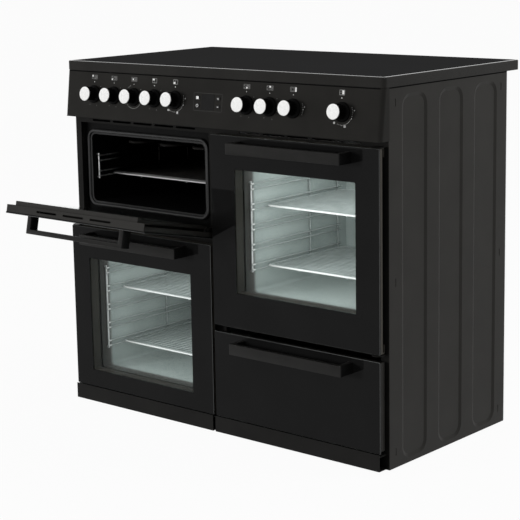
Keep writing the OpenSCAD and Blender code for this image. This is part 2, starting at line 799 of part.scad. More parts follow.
// The frame between the panes: two channels, two side strips and a tunnel round the window.
// low holds the bottom channel's ends, the back sheet's bottom edge and the side strips' bottom edge
module door_frame(x0, x1, z0, z1, wx, wz, wh, low) {
    t0 = glass_front_y + glass_t;
    t1 = glass_front_y + channel_t;
    t2 = glass_front_y + door_t - glass_t;
    inner = [x0 + inner_inset, x1 - inner_inset];
    difference() {
        union() {
            channel(x0 + edge_inset, x1 - edge_inset, z1, -1);
            channel(low[0], low[1], z0, 1);
            for (x = [x0 + edge_inset, x1 - edge_inset - sheet])
                box([x, x + sheet], [t0, t0 + side_depth], [low[3], z1 - 1]);
            // Step at the top that covers the inner glass's edge
            box(inner, [t1 - sheet, glass_front_y + door_t], [z1 - inner_h_inset, z1 - step_drop]);
            // Back sheet that carries the tunnel and the inner glass
            box(inner, [t1 - sheet, t1], [low[2], z1 - 1]);
            for (x = [inner[0], inner[1] - sheet]) box([x, x + sheet], [t1 - sheet, t2], [low[2], z1 - inner_h_inset]);
            slab(t0, t2) round_rect(wx - window_w / 2 - sheet, wx + window_w / 2 + sheet,
                                    wz - sheet, wz + wh + sheet, 5);
        }
        slab(t0 - 1, t2 + 1) round_rect(wx - window_w / 2, wx + window_w / 2, wz, wz + wh, 4);
        // Three air slots in the top edge
        for (i = [-1:1]) translate([(x0 + x1) / 2 + i * air_pitch, glass_front_y + 13, z1 - 3])
            linear_extrude(4) slot(-air_w / 2, air_w / 2, -2.5, 2.5);
        // The step is a hollow section
        box([inner[0] + web_t, inner[1] - web_t], [t1, glass_front_y + door_t - web_t],
            [z1 - inner_h_inset - 1, z1 - step_drop - web_t]);
    }
}

// A handle: a flat bar carried on two legs
module handle(mid, z, z_len) {
    post = 13;
    bar_t = 11;
    out = glass_front_y - handle_reach;
    x = [mid - handle_len / 2, mid + handle_len / 2];
    translate([0, 0, z - z_len / 2]) linear_extrude(z_len) difference() {
        union() {
            round_rect(x[0], x[1], out, glass_front_y - 3, 2.5);
            for (p = [x[0], x[1] - post]) translate([p, out + 10]) square([post, handle_reach - 10]);
        }
        round_rect(x[0] + post, x[1] - post, out + bar_t, glass_front_y + 4, 3);
    }
}

// Turns the closed grill door to its open rest
module opened_grill_door() {
    translate([0, pivot_y, grill_pivot_z]) rotate([grill_open_deg, 0, 0])
        translate([0, -pivot_y, -grill_pivot_z]) children();
}

module grill_door_glass() {
    color("#0e0e0f") opened_grill_door() outer_glass(left_x0, left_x1, grill_bottom_z, door_top_z);
}

module grill_door_inner_glass() {
    color("#27302f") opened_grill_door()
        inner_glass(left_x0, left_x1, grill_bottom_z + grill_bottom_inset, door_top_z);
}

module grill_door_frame() {
    lug_x = [open_grill[0] + 4, open_grill[1] - 4 - lug_w];
    color("#3b3b39") opened_grill_door() difference() {
        union() {
            door_frame(left_x0, left_x1, grill_bottom_z, door_top_z, main_mid, grill_window_z, grill_window_h,
                       [lug_x[0], lug_x[1] + lug_w, grill_bottom_z + grill_bottom_inset - 4,
                        grill_bottom_z + grill_bottom_inset - 4]);
            for (x = lug_x) {
                rod_x(x, x + lug_w, pivot_y, grill_pivot_z, lug_r);
                box([x, x + lug_w], [glass_front_y + glass_t, glass_front_y + channel_t],
                    [grill_bottom_z, grill_pivot_z - 5]);
            }
        }
        for (x = lug_x) rod_x(x - 1, x + lug_w + 1, pivot_y, grill_pivot_z, pivot_r + hinge_play);
    }
}

module grill_door_handle() {
    color("#2c2c2b") opened_grill_door() handle(main_mid, door_top_z - handle_drop, handle_h);
}

module main_door_glass() {
    color("#0e0e0f") outer_glass(left_x0, left_x1, lower_bottom_z, main_top_z);
}

module main_door_inner_glass() {
    color("#27302f") inner_glass(left_x0, left_x1, lower_bottom_z + inner_h_inset, main_top_z);
}

module main_door_frame() {
    color("#3b3b39") difference() {
        door_frame(left_x0, left_x1, lower_bottom_z, main_top_z, main_mid, main_window_z, window_h,
                   [left_x0 + edge_inset, left_x1 - edge_inset, lower_bottom_z + inner_h_inset, lower_bottom_z]);
        rod_z(lower_bottom_z - 1, main_top_z + 1, main_hinge_x, hinge_y, hinge_r + hinge_play);
    }
}

module main_door_handle() {
    color("#2c2c2b") handle(main_mid, main_top_z - handle_drop, handle_h);
}

module tall_door_glass() {
    color("#0e0e0f") outer_glass(right_x0, right_x1, tall_bottom_z, door_top_z);
}

module tall_door_inner_glass() {
    color("#27302f") inner_glass(right_x0, right_x1, tall_bottom_z + inner_h_inset, door_top_z);
}

module tall_door_frame() {
    color("#3b3b39") difference() {
        door_frame(right_x0, right_x1, tall_bottom_z, door_top_z, tall_mid, tall_window_z, window_h,
                   [right_x0 + edge_inset, right_x1 - edge_inset, tall_bottom_z + inner_h_inset, tall_bottom_z]);
        rod_z(tall_bottom_z - 1, door_top_z + 1, tall_hinge_x, hinge_y, hinge_r + hinge_play);
    }
}

module tall_door_handle() {
    color("#2c2c2b") handle(tall_mid, door_top_z - handle_drop, handle_h);
}

module drawer_front() {
    color("#0e0e0f") outer_glass(right_x0, right_x1, lower_bottom_z, drawer_top_z);
}

// The drawer's steel front shell and its open tray
module drawer_box() {
    shell = [right_x0 + edge_inset, right_x1 - edge_inset];
    tray = [open_drawer[0] + 6, open_drawer[1] - 6];
    z0 = lower_bottom_z + 12.3;
    y = [glass_front_y + glass_t, glass_front_y + channel_t, oven_back_y - 60];
    color("#4a4b4a") {
        difference() {
            box(shell, [y[0], y[1]], [lower_bottom_z + 4, drawer_top_z - 3]);
            box([shell[0] + sheet, shell[1] - sheet], [y[0] - 1, y[1] - sheet],
                [lower_bottom_z + 4 + sheet, drawer_top_z - 3 - sheet]);
        }
        difference() {
            box(tray, [y[1] - sheet, y[2]], [z0, drawer_top_z - 30]);
            box([tray[0] + sheet, tray[1] - sheet], [y[1], y[2] - sheet], [z0 + sheet, drawer_top_z]);
        }
    }
}

module drawer_handle() {
    color("#2c2c2b") handle(tall_mid, drawer_top_z - handle_drop, handle_h);
}

// Two angle rails on legs that stand on the base tray
module drawer_runners() {
    z0 = lower_bottom_z + 10;
    y = [face_y + sheet, oven_back_y - 40];
    color("#8f9193") for (side = [0, 1]) {
        web_x = side == 0 ? open_drawer[0] + 1 : open_drawer[1] - 1 - sheet;
        foot_x = side == 0 ? web_x : web_x + sheet - 12;
        box([web_x, web_x + sheet], [flange_y, y[1]], [z0, z0 + 30]);
        box([foot_x, foot_x + 12], [flange_y, y[1]], [z0, z0 + 2]);
        box([web_x, web_x + sheet], [y[1] - 30, y[1]], [tray_z + sheet, z0 + 1]);
        box([web_x, web_x + sheet], [flange_y, flange_y + 30], [tray_z + sheet, z0 + 1]);
    }
}

left_side_panel();
right_side_panel();
back_panel();
base_tray();
levelling_feet();
plinth();
front_frame();
hinge_brackets();
fascia();
clock_display();
clock_key(1);  // clock_key_1
clock_key(2);  // clock_key_2
clock_key(3);  // clock_key_3
clock_key(4);  // clock_key_4
hob_frame();
hob_glass();
hob_tray();
radiant_elements();
knob(1);  // knob_1
knob(2);  // knob_2
knob(3);  // knob_3
knob(4);  // knob_4
knob(5);  // knob_5
knob(6);  // knob_6
knob(7);  // knob_7
knob(8);  // knob_8
knob(9);  // knob_9
regulators();
grill_liner();
main_liner();
tall_liner();
oven_seals();
side_racks(grill_box, grill_pairs);  // grill_side_racks
side_racks(main_box, main_pairs);  // main_side_racks
side_racks(tall_box, tall_pairs);  // tall_side_racks
grill_shelf();
main_shelves();
tall_shelves();
grill_element();
fan_covers();
fan_motors();
fan(main_box);  // main_fan
fan(tall_box);  // tall_fan
grill_door_glass();
grill_door_inner_glass();
grill_door_frame();
grill_door_handle();
main_door_glass();
main_door_inner_glass();
main_door_frame();
main_door_handle();
tall_door_glass();
tall_door_inner_glass();
tall_door_frame();
tall_door_handle();
drawer_front();
drawer_box();
drawer_handle();
drawer_runners();
terminal_cover();
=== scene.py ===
"""Looks of the range cooker: materials, glass panes, handles, knobs, printed marks, light and camera.

Everything is in metres in the row frame: +X the viewer's right, -Y the front, +Z up, the floor at Z = 0.
"""

import math

import bmesh
import bpy
from mathutils import Matrix, Vector


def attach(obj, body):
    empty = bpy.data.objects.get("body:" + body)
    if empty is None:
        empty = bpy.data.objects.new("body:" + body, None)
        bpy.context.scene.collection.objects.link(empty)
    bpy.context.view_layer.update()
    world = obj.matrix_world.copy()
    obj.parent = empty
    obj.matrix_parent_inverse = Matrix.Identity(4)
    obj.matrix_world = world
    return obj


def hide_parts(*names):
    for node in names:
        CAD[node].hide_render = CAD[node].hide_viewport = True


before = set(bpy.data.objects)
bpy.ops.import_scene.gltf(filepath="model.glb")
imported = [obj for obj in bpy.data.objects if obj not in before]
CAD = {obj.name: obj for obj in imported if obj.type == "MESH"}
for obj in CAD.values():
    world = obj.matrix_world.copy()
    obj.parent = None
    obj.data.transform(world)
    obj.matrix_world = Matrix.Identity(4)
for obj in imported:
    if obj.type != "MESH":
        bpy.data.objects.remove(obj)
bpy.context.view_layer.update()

# ---------------------------------------------------------------- sizes, in metres

MM = 0.001
GLASS_Y = -281 * MM            # front of the doors' glass
GLASS_T = 4 * MM
GLASS_EDGE = 0.6 * MM          # chamfer round each pane, polished at the front
PANE_SMOOTH = 20               # degrees: sharper edges of panes and blocks stay sharp
KNOB_SMOOTH = 35
PANE_R = 2 * MM                # corner radius of the panes and the windows
WINDOW_GAP = 0.05 * MM         # between a clear window and the black glass round it
WINDOW_SINK = 0.1 * MM         # how far the window's faces lie below the black glass
LEFT = (-498 * MM, -14 * MM)   # left column of doors, across
RIGHT = (-6 * MM, 490 * MM)    # right column
MAIN_MID = -260 * MM
TALL_MID = 246 * MM
WINDOW_W = 356 * MM
GRILL_PIVOT = Vector((0, -265 * MM, 503.6 * MM))
GRILL_OPEN = math.radians(78)

HANDLE_LEN = 334 * MM
HANDLE_H = 26 * MM
HANDLE_REACH = 44 * MM
HANDLE_BAR = 11 * MM
HANDLE_POST = 13 * MM
HANDLE_EDGE = 0.9 * MM
HANDLE_R = 2.5 * MM            # front corners, seen from above
HANDLE_INNER_R = 3 * MM        # corners between the bar and its legs

FASCIA_TOP = Vector((0, -275 * MM, 876 * MM))
FASCIA_TILT = math.atan(14 / 116.5)
KNOB_DROP = 57 * MM
KNOB_X = [x * MM for x in (-397, -327, -257, -187, -117, 110, 180, 250, 390)]
GRIP_TOP = 31 * MM             # height of the knobs' grip, where the cap sits
FLUTES = 14
FLUTE_DEPTH = 0.7 * MM
POINTER_RISE = 2.0 * MM
POINTER_ANGLE = 0.16           # half the pointer ridge's width, in radians
CLOCK_X = -10 * MM
CLOCK_DROP = 57 * MM
CLOCK_HALF_W = 45 * MM
CLOCK_HALF_H = 21 * MM
CLOCK_R = 3 * MM
CLOCK_LINE = 0.6 * MM
KEY_OUT = 33 * MM              # a clock key's middle from the clock's, across
KEY_UP = 9.5 * MM              # and along the slope
KEY_FACE = 1.5 * MM            # how far the keys stand out
SIGN_REACH = 2.6 * MM          # arms of the plus and the minus
SIGN_W = 1.2 * MM
INK_LIFT = 0.03 * MM           # gap under the printed marks
INK_T = 0.12 * MM              # their thickness

JOINT_DROP = 1.3 * MM          # middle of the painted shadow line under the hob's trim, down the slope
JOINT_W = 2.4 * MM
JOINT_HALF_LEN = 490 * MM
SIDE_JOINT_X = (497.02 * MM, 497.25 * MM)
SIDE_JOINT_Y = (-254 * MM, 222 * MM)
SIDE_JOINT_Z = (873.3 * MM, 875.9 * MM)


# ---------------------------------------------------------------- materials

def new_material(name):
    mat = bpy.data.materials.new(name)
    mat.use_nodes = True
    mat.node_tree.nodes.clear()
    return mat, mat.node_tree.nodes, mat.node_tree.links


def map_range(nodes, links, source, low, high, out_low, out_high):
    node = nodes.new("ShaderNodeMapRange")
    node.inputs["From Min"].default_value = low
    node.inputs["From Max"].default_value = high
    node.inputs["To Min"].default_value = out_low
    node.inputs["To Max"].default_value = out_high
    links.new(source, node.inputs["Value"])
    return node.outputs["Result"]


def noise(nodes, links, vector, size, detail=2.0):
    node = nodes.new("ShaderNodeTexNoise")
    node.inputs["Scale"].default_value = 1 / size
    node.inputs["Detail"].default_value = detail
    links.new(vector, node.inputs["Vector"])
    return node.outputs["Fac"]


def blend_colours(nodes, links, factor, a, b):
    """a and b are colours or sockets; the result goes from a to b with factor."""
    node = nodes.new("ShaderNodeMix")
    node.data_type = "RGBA"
    links.new(factor, node.inputs["Factor"])
    for socket, value in ((node.inputs["A"], a), (node.inputs["B"], b)):
        if isinstance(value, tuple):
            socket.default_value = (*value, 1)
        else:
            links.new(value, socket)
    return node.outputs["Result"]


def add_relief(nodes, links, height, strength, distance, shader):
    bump = nodes.new("ShaderNodeBump")
    bump.inputs["Strength"].default_value = strength
    bump.inputs["Distance"].default_value = distance
    links.new(height, bump.inputs["Height"])
    links.new(bump.outputs["Normal"], shader.inputs["Normal"])


def mirror(nodes, colour):
    shader = nodes.new("ShaderNodeBsdfPrincipled")
    shader.inputs["Base Color"].default_value = (*colour, 1)
    shader.inputs["Metallic"].default_value = 1.0
    return shader


def mix_to_output(nodes, links, first, second, output="ShaderNodeOutputMaterial"):
    """Send a mix of two shaders to the output. The result is the mix's factor socket."""
    mix = nodes.new("ShaderNodeMixShader")
    links.new(first.outputs[0], mix.inputs[1])
    links.new(second.outputs[0], mix.inputs[2])
    links.new(mix.outputs[0], nodes.new(output).inputs["Surface"])
    return mix.inputs["Fac"]


def surface(name, dark, light, rough, patch=80 * MM, grain=1 * MM, bump=0.03 * MM,
            stretch=(1, 1, 1), fleck=None, depth=None, edge_gloss=None, **sockets):
    """A finish whose colour drifts from dark to light over patch.

    Its roughness, which stays within rough, and its relief, as high as bump, vary over grain.
    stretch draws the grain out for brushed metal. fleck is (colour, size, share) for speckled enamel.
    depth is (y0, y1, colour): in front of y0 the surface has that colour, and from y1 back its own.
    edge_gloss is (facing0, facing1): a clear coat that grows from nothing to full between these angles.
    """
    mat, nodes, links = new_material(name)
    out = nodes.new("ShaderNodeOutputMaterial")
    shader = nodes.new("ShaderNodeBsdfPrincipled")
    links.new(shader.outputs[0], out.inputs["Surface"])
    coords = nodes.new("ShaderNodeTexCoord").outputs["Object"]
    mapping = nodes.new("ShaderNodeMapping")
    mapping.inputs["Scale"].default_value = stretch
    links.new(coords, mapping.inputs["Vector"])
    along = mapping.outputs["Vector"]

    drift = map_range(nodes, links, noise(nodes, links, coords, patch, 4), 0.35, 0.65, 0, 1)
    colour = blend_colours(nodes, links, drift, dark, light)
    if fleck:
        cells = nodes.new("ShaderNodeTexVoronoi")
        cells.inputs["Scale"].default_value = 1 / fleck[1]
        links.new(coords, cells.inputs["Vector"])
        spot = map_range(nodes, links, cells.outputs["Distance"], fleck[2], fleck[2] + 0.12, 1, 0)
        colour = blend_colours(nodes, links, spot, colour, fleck[0])
    if depth:
        split = nodes.new("ShaderNodeSeparateXYZ")
        links.new(coords, split.inputs[0])
        back = map_range(nodes, links, split.outputs["Y"], depth[0], depth[1], 0, 1)
        colour = blend_colours(nodes, links, back, depth[2], colour)
    links.new(colour, shader.inputs["Base Color"])

    fine = noise(nodes, links, along, grain, 3)
    links.new(map_range(nodes, links, fine, 0.3, 0.7, *rough), shader.inputs["Roughness"])
    add_relief(nodes, links, fine, 0.6, bump, shader)
    if edge_gloss:
        facing = nodes.new("ShaderNodeLayerWeight").outputs["Facing"]
        links.new(map_range(nodes, links, facing, *edge_gloss, 0, 1), shader.inputs["Coat Weight"])
        shader.inputs["Coat Roughness"].default_value = 0.12
    for socket, value in sockets.items():
        shader.inputs[socket.replace("_", " ")].default_value = value
    return mat


def clear_glass(name, tint, ior):
    """A thin clear pane: tinted, with a weak reflection that has faint smears.

    The reflection grows at flat angles. It comes from the angle alone, the same on both sides of a face:
    a Fresnel node would make the back faces mirrors from above, since the light isn't bent on its way in.
    """
    mat, nodes, links = new_material(name)
    clear = nodes.new("ShaderNodeBsdfTransparent")
    clear.inputs["Color"].default_value = (*tint, 1)
    gloss = mirror(nodes, (0.9, 0.93, 0.92))
    share = mix_to_output(nodes, links, clear, gloss)
    growth = nodes.new("ShaderNodeMath")
    growth.operation = "POWER"
    growth.inputs[1].default_value = 5
    links.new(nodes.new("ShaderNodeLayerWeight").outputs["Facing"], growth.inputs[0])
    head_on = ((ior - 1) / (ior + 1)) ** 2
    links.new(map_range(nodes, links, growth.outputs[0], 0, 1, head_on, 0.6), share)
    coords = nodes.new("ShaderNodeTexCoord").outputs["Object"]
    smear = noise(nodes, links, coords, 60 * MM, 5)
    links.new(map_range(nodes, links, smear, 0.35, 0.7, 0.02, 0.09), gloss.inputs["Roughness"])
    add_relief(nodes, links, smear, 0.15, 0.05 * MM, gloss)
    return mat


def ceramic_glass(name):
    """The hob's surface: black, with an even faint gloss that stays low at a flat angle."""
    mat, nodes, links = new_material(name)
    body = nodes.new("ShaderNodeBsdfPrincipled")
    body.inputs["Specular IOR Level"].default_value = 0.0
    gloss = mirror(nodes, (0.95, 0.95, 0.95))
    mix_to_output(nodes, links, body, gloss).default_value = 0.018
    coords = nodes.new("ShaderNodeTexCoord").outputs["Object"]
    cloud = noise(nodes, links, coords, 150 * MM, 5)
    links.new(blend_colours(nodes, links, cloud, (0.004, 0.004, 0.0042), (0.0065, 0.0065, 0.0068)),
              body.inputs["Base Color"])
    pebble = noise(nodes, links, coords, 2.5 * MM, 2)
    for shader in (body, gloss):
        links.new(map_range(nodes, links, pebble, 0.3, 0.7, 0.05, 0.11), shader.inputs["Roughness"])
    add_relief(nodes, links, pebble, 0.2, 0.02 * MM, gloss)
    return mat


def grey(value, warm=0.0):
    """A near-neutral colour, a little warmer when warm is above 0."""
    return (value * (1 + warm / 2), value, value * (1 - warm))


M = {
    "enamel": surface("enamel", grey(0.0185, 0.10), grey(0.0220, 0.10), (0.36, 0.48), grain=1.2 * MM,
                      Specular_IOR_Level=0.10),
    "fascia": surface("fascia_enamel", grey(0.0150, 0.08), grey(0.0180, 0.08), (0.34, 0.42), grain=1.2 * MM,
                      Specular_IOR_Level=0.05),
    "hob_trim": surface("hob_trim_enamel", grey(0.0150, 0.08), grey(0.0185, 0.08), (0.24, 0.32),
                        grain=1.2 * MM, edge_gloss=(0.62, 0.88), Specular_IOR_Level=0.08),
    "hob_glass": ceramic_glass("ceramic_hob_glass"),
    # Partly painted reflection: the black glass's grey base colour stands in for part of its even reflection of
    # the room; the rest is real gloss.
    "door_glass": surface("black_door_glass", grey(0.0070), grey(0.0085), (0.015, 0.05), patch=150 * MM,
                          grain=50 * MM, bump=0.01 * MM, Specular_IOR_Level=0.06),
    "glass_edge": surface("polished_glass_edge", (0.085, 0.09, 0.088), (0.115, 0.12, 0.118), (0.18, 0.3),
                          patch=30 * MM, grain=0.8 * MM),
    "window": clear_glass("clear_door_glass", (0.97, 0.98, 0.98), 1.12),
    "inner_glass": clear_glass("inner_door_glass", (0.965, 0.975, 0.975), 1.08),
    "door_steel": surface("door_steel", grey(0.0135, 0.10), grey(0.0175, 0.10), (0.42, 0.55), grain=1.0 * MM,
                          Specular_IOR_Level=0.2),
    "tunnel_steel": surface("tunnel_steel", grey(0.056, 0.14), grey(0.066, 0.14), (0.42, 0.55), grain=1.0 * MM,
                            Specular_IOR_Level=0.15),
    "frame_steel": surface("frame_steel", grey(0.0085, 0.05), grey(0.0110, 0.05), (0.34, 0.46), grain=1.0 * MM,
                           Specular_IOR_Level=0.05),
    "plinth": surface("plinth_enamel", grey(0.0095, 0.05), grey(0.0120, 0.05), (0.36, 0.46), grain=1.2 * MM,
                      Specular_IOR_Level=0.06),
    "handle": surface("handle_black", grey(0.0105, 0.05), grey(0.0135, 0.05), (0.30, 0.40), patch=40 * MM,
                      grain=0.8 * MM, Specular_IOR_Level=0.12),
    # Painted shade: a darker copy of the handle's finish for the unlit end faces of the handles.
    "handle_end_shade": surface("handle_end_black", grey(0.0028), grey(0.0042), (0.35, 0.48), patch=15 * MM,
                          grain=0.7 * MM, Specular_IOR_Level=0.15),
    "knob": surface("knob_black", grey(0.0012), grey(0.0018), (0.30, 0.42), patch=12 * MM, grain=0.6 * MM,
                    Specular_IOR_Level=0.03),
    "knob_cap": surface("knob_cap_metal", (0.84, 0.84, 0.83), (0.93, 0.93, 0.92), (0.20, 0.34), patch=9 * MM,
                        grain=0.5 * MM, bump=0.01 * MM, Metallic=1.0),
    "key": surface("key_black", grey(0.006), grey(0.009), (0.35, 0.45), patch=5 * MM, grain=0.4 * MM,
                   Specular_IOR_Level=0.25),
    "display": surface("smoked_display", grey(0.0120), grey(0.0140), (0.04, 0.09), patch=15 * MM, grain=6 * MM,
                       bump=0.005 * MM, Specular_IOR_Level=0.06),
    # Painted shade: the oven walls are painted dark for their first few cm behind the door, where the door's
    # black glass shades them.
    "oven_enamel": surface("oven_enamel", (0.29, 0.335, 0.32), (0.34, 0.385, 0.37), (0.24, 0.36),
                           patch=90 * MM, grain=2.5 * MM, bump=0.05 * MM,
                           fleck=((0.50, 0.515, 0.515), 3.2 * MM, 0.16),
                           depth=(-216 * MM, -206 * MM, (0.085, 0.080, 0.075))),
    "grill_enamel": surface("grill_enamel", grey(0.0016), grey(0.0028), (0.35, 0.5), grain=2.5 * MM,
                            fleck=(grey(0.012), 3.2 * MM, 0.12), depth=(-241 * MM, -240 * MM, grey(0.035)),
                            Specular_IOR_Level=0.06),
    # Painted shade: the grill's chrome wire is light only at the front and painted almost black deeper in,
    # where the grill gets no light.
    "grill_wire": surface("grill_wire", (0.018, 0.017, 0.016), (0.03, 0.028, 0.026), (0.30, 0.45),
                          patch=30 * MM, grain=0.8 * MM, bump=0.01 * MM,
                          depth=(-196 * MM, -150 * MM, (0.80, 0.80, 0.79)), Metallic=1.0),
    # Painted highlight: the racks' wires are painted much lighter at their front ends than behind.
    "rack_wire": surface("chromed_rack_wire", (0.27, 0.30, 0.29), (0.33, 0.36, 0.35), (0.20, 0.30),
                         patch=30 * MM, grain=0.8 * MM, bump=0.01 * MM,
                         depth=(-222 * MM, -219 * MM, (0.80, 0.80, 0.79)), Metallic=0.2),
    # Painted highlight: the shelves' front wire is painted lighter than the wires behind it.
    "shelf_wire": surface("chromed_shelf_wire", (0.25, 0.28, 0.27), (0.31, 0.34, 0.33), (0.20, 0.30),
                          patch=30 * MM, grain=0.8 * MM, bump=0.01 * MM,
                          depth=(-172 * MM, -170 * MM, (0.55, 0.56, 0.55)), Metallic=0.2),
    "element": surface("heat_dulled_tube", (0.006, 0.0056, 0.005), (0.010, 0.0094, 0.009), (0.45, 0.65),
                       patch=25 * MM, grain=0.8 * MM, Specular_IOR_Level=0.1),
    "zinc": surface("zinc_sheet", (0.47, 0.48, 0.49), (0.53, 0.54, 0.55), (0.34, 0.48), patch=14 * MM,
                    grain=1.5 * MM, bump=0.02 * MM, stretch=(1, 1, 0.06), Metallic=0.9),
    "fan": surface("fan_aluminium", (0.55, 0.56, 0.56), (0.66, 0.67, 0.67), (0.3, 0.45), grain=0.8 * MM,
                   Metallic=0.9),
    "seal": surface("door_seal", grey(0.016), grey(0.024), (0.26, 0.40), patch=12 * MM, grain=1.2 * MM,
                    bump=0.08 * MM, Specular_IOR_Level=0.35),
    "heater": surface("heater_dish", (0.46, 0.43, 0.38), (0.56, 0.53, 0.47), (0.5, 0.7), grain=2 * MM),
    "switch": surface("switch_moulding", (0.56, 0.54, 0.50), (0.64, 0.62, 0.57), (0.45, 0.6), grain=1 * MM),
    "plastic": surface("black_plastic", grey(0.008), grey(0.013), (0.42, 0.58), patch=20 * MM, grain=0.7 * MM,
                       bump=0.06 * MM),
    "ink": surface("white_ink", (0.80, 0.80, 0.79), (0.90, 0.90, 0.89), (0.5, 0.65), patch=2 * MM,
                   grain=0.3 * MM, bump=0.005 * MM),
    "grey_ink": surface("light_grey_ink", (0.17, 0.17, 0.165), (0.23, 0.23, 0.225), (0.5, 0.65),
                        patch=2 * MM, grain=0.3 * MM, bump=0.005 * MM),
    "faint_ink": surface("dark_grey_ink", (0.026, 0.026, 0.025), (0.036, 0.036, 0.034), (0.4, 0.55),
                         patch=4 * MM, grain=0.3 * MM, bump=0.005 * MM),
    # Painted shadow: near-black strips for the shaded gap under the hob's trim.
    "shadow_gap": surface("painted_gap_shadow", grey(0.0010), grey(0.0016), (0.7, 0.85), patch=4 * MM, grain=0.5 * MM,
                          Specular_IOR_Level=0.05),
}

FINISH = {
    "left_side_panel": "enamel", "right_side_panel": "enamel", "back_panel": "zinc", "base_tray": "zinc",
    "levelling_feet": "plastic", "plinth": "plinth", "front_frame": "frame_steel",
    "hinge_brackets": "frame_steel", "fascia": "fascia", "clock_display": "display", "hob_frame": "hob_trim",
    "hob_glass": "hob_glass", "hob_tray": "zinc", "radiant_elements": "heater", "regulators": "switch",
    "grill_liner": "grill_enamel", "main_liner": "oven_enamel", "tall_liner": "oven_enamel",
    "oven_seals": "seal", "grill_element": "element", "fan_covers": "oven_enamel", "fan_motors": "zinc",
    "main_fan": "fan", "tall_fan": "fan", "drawer_box": "door_steel", "drawer_runners": "zinc",
    "terminal_cover": "plastic",
}
for node in CAD:
    if node.endswith(("_racks", "_shelf", "_shelves")):
        FINISH[node] = ("grill_wire" if node.startswith("grill") else
                        "rack_wire" if node.endswith("_racks") else "shelf_wire")
    elif node.startswith("clock_key"):
        FINISH[node] = "key"
    elif node.startswith("knob"):
        FINISH[node] = "knob"
    elif node.endswith("_inner_glass"):
        FINISH[node] = "inner_glass"
    elif node.endswith("_door_frame"):
        FINISH[node] = "door_steel" if node.startswith("grill") else "tunnel_steel"
    elif node.endswith("_handle"):
        FINISH[node] = "handle"
    elif node.endswith("_glass") or node == "drawer_front":
        FINISH.setdefault(node, "door_glass")
for node, obj in CAD.items():
    obj.data.materials.clear()
    obj.data.materials.append(M[FINISH[node]])


# ---------------------------------------------------------------- mesh tools

def make(name, verts, faces, mats, body, slot, smooth=40, matrix=None):
    """A piece from points and faces, which are (indices, material number)."""
    mesh = bpy.data.meshes.new(name)
    bm = bmesh.new()
    points = [bm.verts.new(v) for v in verts]
    for indices, number in faces:
        face = bm.faces.new([points[i] for i in indices])
        face.material_index = number
    bmesh.ops.recalc_face_normals(bm, faces=bm.faces)
    bm.to_mesh(mesh)
    bm.free()
    for mat in mats:
        mesh.materials.append(M[mat])
    return place(name, mesh, body, smooth, matrix)


def place(name, mesh, body, smooth=40, matrix=None):
    """Put a mesh into the scene as a piece that rides on body. Edges sharper than smooth degrees stay sharp."""
    obj = bpy.data.objects.new(name, mesh)
    bpy.context.scene.collection.objects.link(obj)
    mesh.shade_smooth()
    mesh.set_sharp_from_angle(angle=math.radians(smooth))
    if matrix is not None:
        obj.matrix_world = matrix
    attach(obj, body)
    return obj


def rounded(x0, x1, z0, z1, r, inset=0.0, steps=6):
    """Points round a rectangle with round corners, anticlockwise, drawn in by inset."""
    x0, x1, z0, z1, r = x0 + inset, x1 - inset, z0 + inset, z1 - inset, max(r - inset, 0.05 * MM)
    corners = ((x1 - r, z1 - r), (x0 + r, z1 - r), (x0 + r, z0 + r), (x1 - r, z0 + r))
    points = []
    for quarter, (cx, cz) in enumerate(corners):
        for i in range(steps + 1):
            a = math.radians(90 * (quarter + i / steps))
            points.append((cx + r * math.cos(a), cz + r * math.sin(a)))
    return points


def join_loops(loops, numbers, closed):
    """Faces between successive loops of equal length. numbers gives each band's material.

    closed joins the last loop to the first; otherwise both ends get a cap, with the last two numbers.
    """
    n = len(loops[0])
    verts = [v for loop in loops for v in loop]
    faces = []
    for band in range(len(loops) if closed else len(loops) - 1):
        a, b = band * n, (band + 1) % len(loops) * n
        for i in range(n):
            j = (i + 1) % n
            faces.append(((a + i, a + j, b + j, b + i), numbers[band]))
    if not closed:
        faces.append((tuple(range(n)), numbers[-2]))
        faces.append((tuple(reversed(range(len(verts) - n, len(verts)))), numbers[-1]))
    return verts, faces


def at_y(points, y):
    return [(x, y, z) for x, z in points]


def blocks(name, boxes, mat, slot):
    """Plain boxes on the casing, as one piece. Each is ((x0, x1), (y0, y1), (z0, z1)) in mm."""
    verts, faces = [], []
    for box in boxes:
        first = len(verts)
        verts += [tuple(box[k][i >> k & 1] * MM for k in range(3)) for i in range(8)]
        faces += [(tuple(first + i for i in side), 0) for side in
                  ((0, 1, 3, 2), (4, 5, 7, 6), (0, 1, 5, 4), (2, 3, 7, 6), (0, 2, 6, 4), (1, 3, 7, 5))]
    make(name, verts, faces, (mat,), "cooker", slot, smooth=PANE_SMOOTH)


def pane(name, rect, body, matrix=None, hole=None):
    """A sheet of door glass with a chamfered edge; hole is the clear window's place in it."""
    y0, y1, c = GLASS_Y, GLASS_Y + GLASS_T, GLASS_EDGE
    rim = [(c, y0), (0, y0 + c), (0, y1 - c), (c, y1)]
    loops = [at_y(rounded(*rect, PANE_R, inset), y) for inset, y in rim]
    if hole:
        loops += [at_y(rounded(*hole, PANE_R), y) for y in (y1, y0)]
    verts, faces = join_loops(loops, [1] + [0] * 5, closed=bool(hole))
    return make(name, verts, faces, ("door_glass", "glass_edge"), body, "door_glass", PANE_SMOOTH, matrix)


